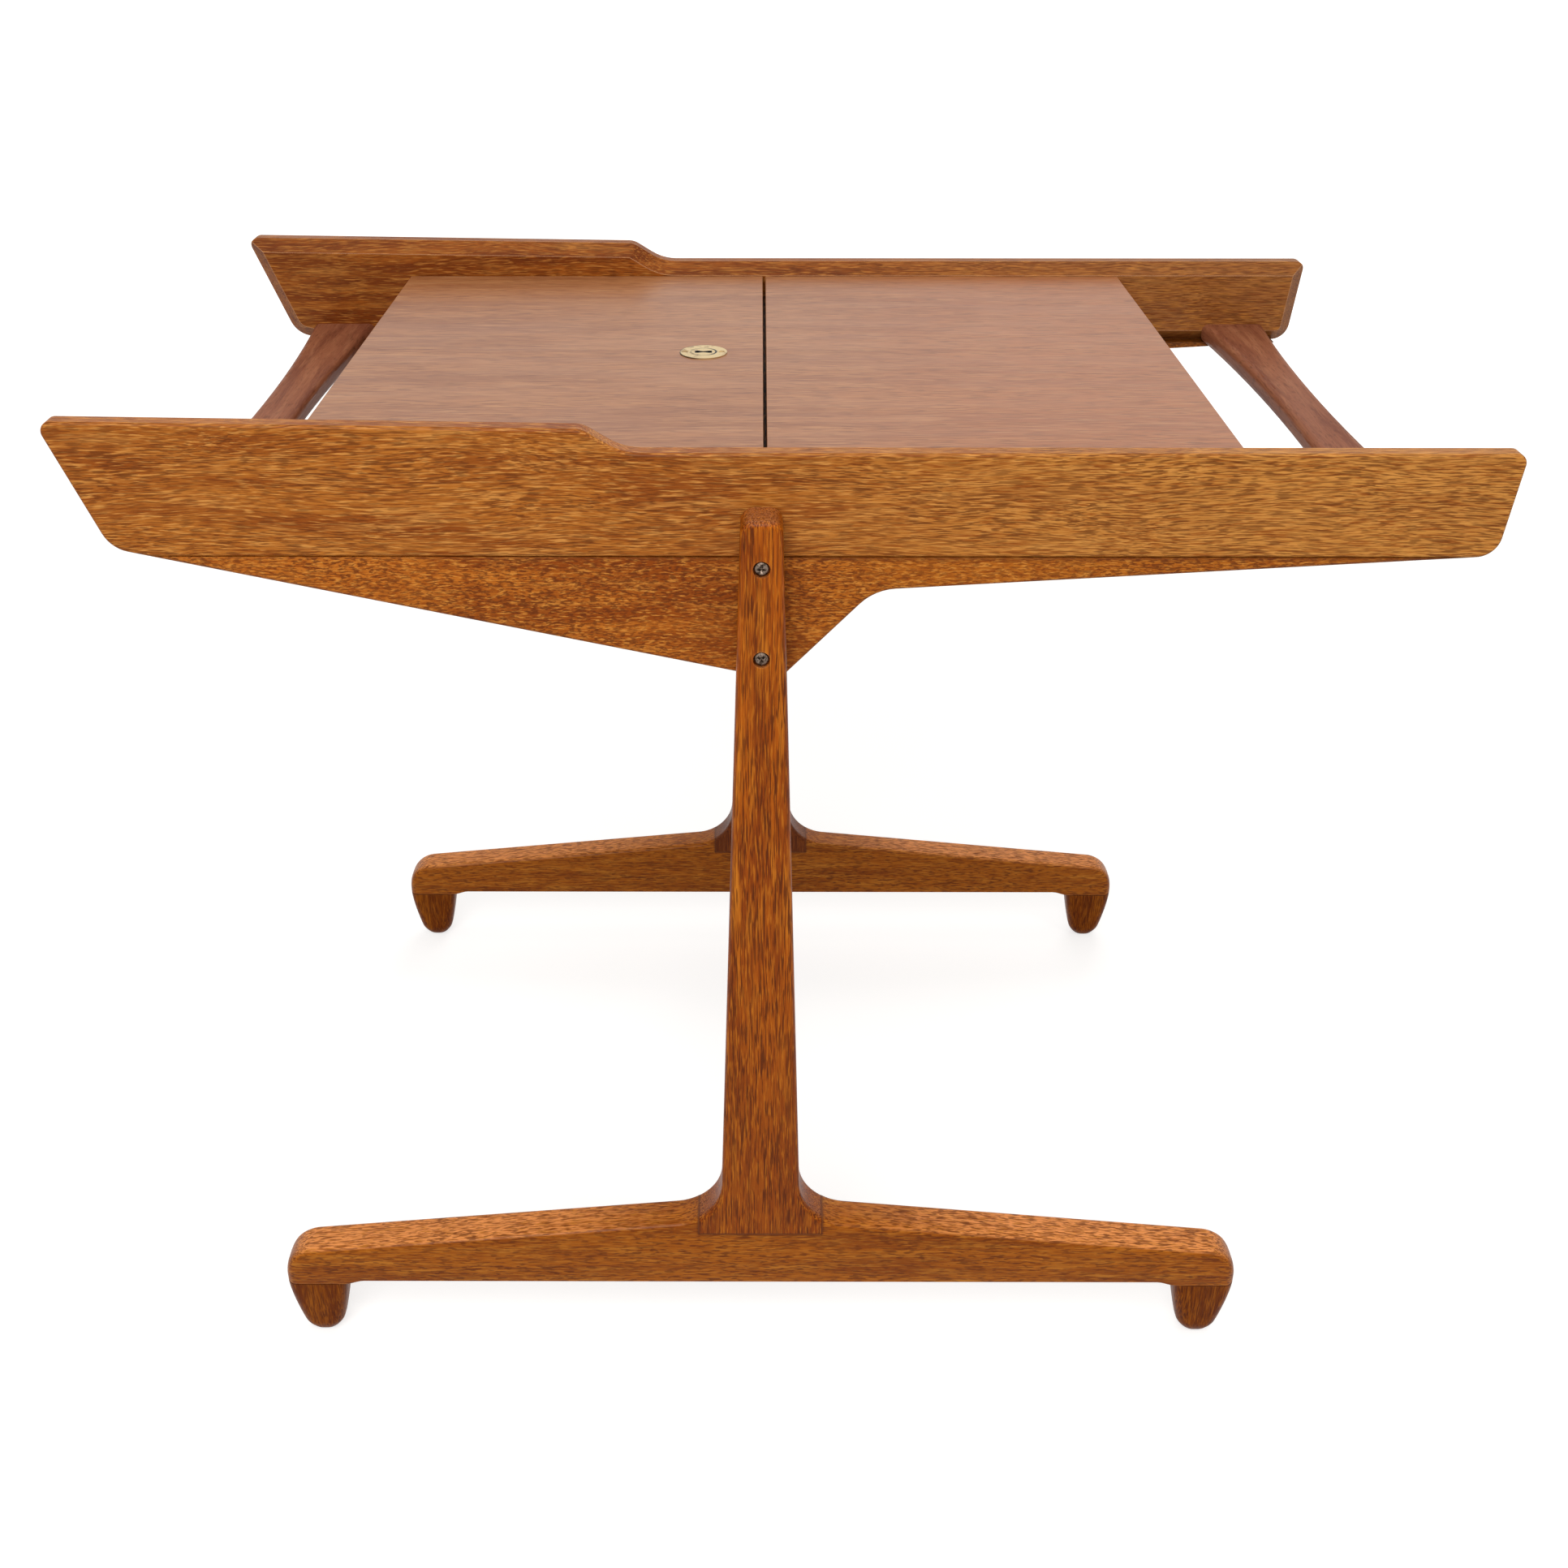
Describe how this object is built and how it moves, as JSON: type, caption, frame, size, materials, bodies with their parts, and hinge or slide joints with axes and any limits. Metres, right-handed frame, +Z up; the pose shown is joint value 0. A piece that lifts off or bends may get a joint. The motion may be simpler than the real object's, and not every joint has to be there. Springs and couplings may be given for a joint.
{
  "type": "sewing table",
  "caption": "Low wooden sewing table: stepped side rails on a trestle of T-shaped legs, a shallow box with sliding lids, a round lock and end handle bars.",
  "frame": {"origin": "on the floor, under the middle of the rails' length and midway between the two rails", "axes": "+X along the rails, from the high left end to the right end; +Y from the front rail to the rear rail; +Z up"},
  "size_m": [0.7999, 0.508, 0.6484],
  "materials": {
    "rail_mahogany": "satin lacquered solid mahogany, open pores",
    "panel_veneer": "satin lacquered mahogany veneer",
    "trestle_mahogany": "satin lacquered solid mahogany",
    "bar_mahogany": "satin lacquered solid mahogany, handled",
    "box_wood": "plain waxed plywood and battens",
    "beech": "raw beech",
    "lock_brass": "polished brass",
    "bronzed_steel": "dark bronzed steel",
    "plain_steel": "zinc plated steel"
  },
  "bodies": {
    "table": {"centre_divider": "box_wood", "front_cross_partition": "box_wood", "front_foot_beam": "trestle_mahogany", "front_left_foot_block": "trestle_mahogany", "front_post": "trestle_mahogany", "front_rail_board": "rail_mahogany", "front_rail_wedge": "rail_mahogany", "front_right_foot_block": "trestle_mahogany", "front_runner": "box_wood", "handle_dowels": "beech", "left_end_board": "box_wood", "left_floor": "box_wood", "left_handle_bar": "bar_mahogany", "lock_catch": "plain_steel", "long_partition": "box_wood", "post_screws": "bronzed_steel", "rear_cross_partition": "box_wood", "rear_foot_beam": "trestle_mahogany", "rear_left_foot_block": "trestle_mahogany", "rear_post": "trestle_mahogany", "rear_rail_board": "rail_mahogany", "rear_rail_wedge": "rail_mahogany", "rear_right_foot_block": "trestle_mahogany", "rear_runner": "box_wood", "right_end_board": "box_wood", "right_floor": "box_wood", "right_handle_bar": "bar_mahogany", "steep_floor": "box_wood"},
    "left_panel": {"left_front_cleat": "box_wood", "left_rear_cleat": "box_wood", "left_top_panel": "panel_veneer", "lock_housing": "lock_brass", "lock_screws": "lock_brass"},
    "right_panel": {"right_front_cleat": "box_wood", "right_rear_cleat": "box_wood", "right_top_panel": "panel_veneer"},
    "lock": {"cam_screw": "plain_steel", "lock_cam": "plain_steel", "lock_plug": "lock_brass"}
  },
  "joints": [
    {"name": "left_panel_slide", "type": "slide", "parent": "table", "child": "left_panel", "axis": [-1, 0, 0], "range_m": [0, 0.12]},
    {"name": "right_panel_slide", "type": "slide", "parent": "table", "child": "right_panel", "axis": [1, 0, 0], "range_m": [0, 0.12]},
    {"name": "lock_turn", "type": "hinge", "parent": "left_panel", "child": "lock", "pos_m": [-0.051, 0, 0.62], "axis": [0, 0, 1], "range_deg": [0, 90]}
  ]
}
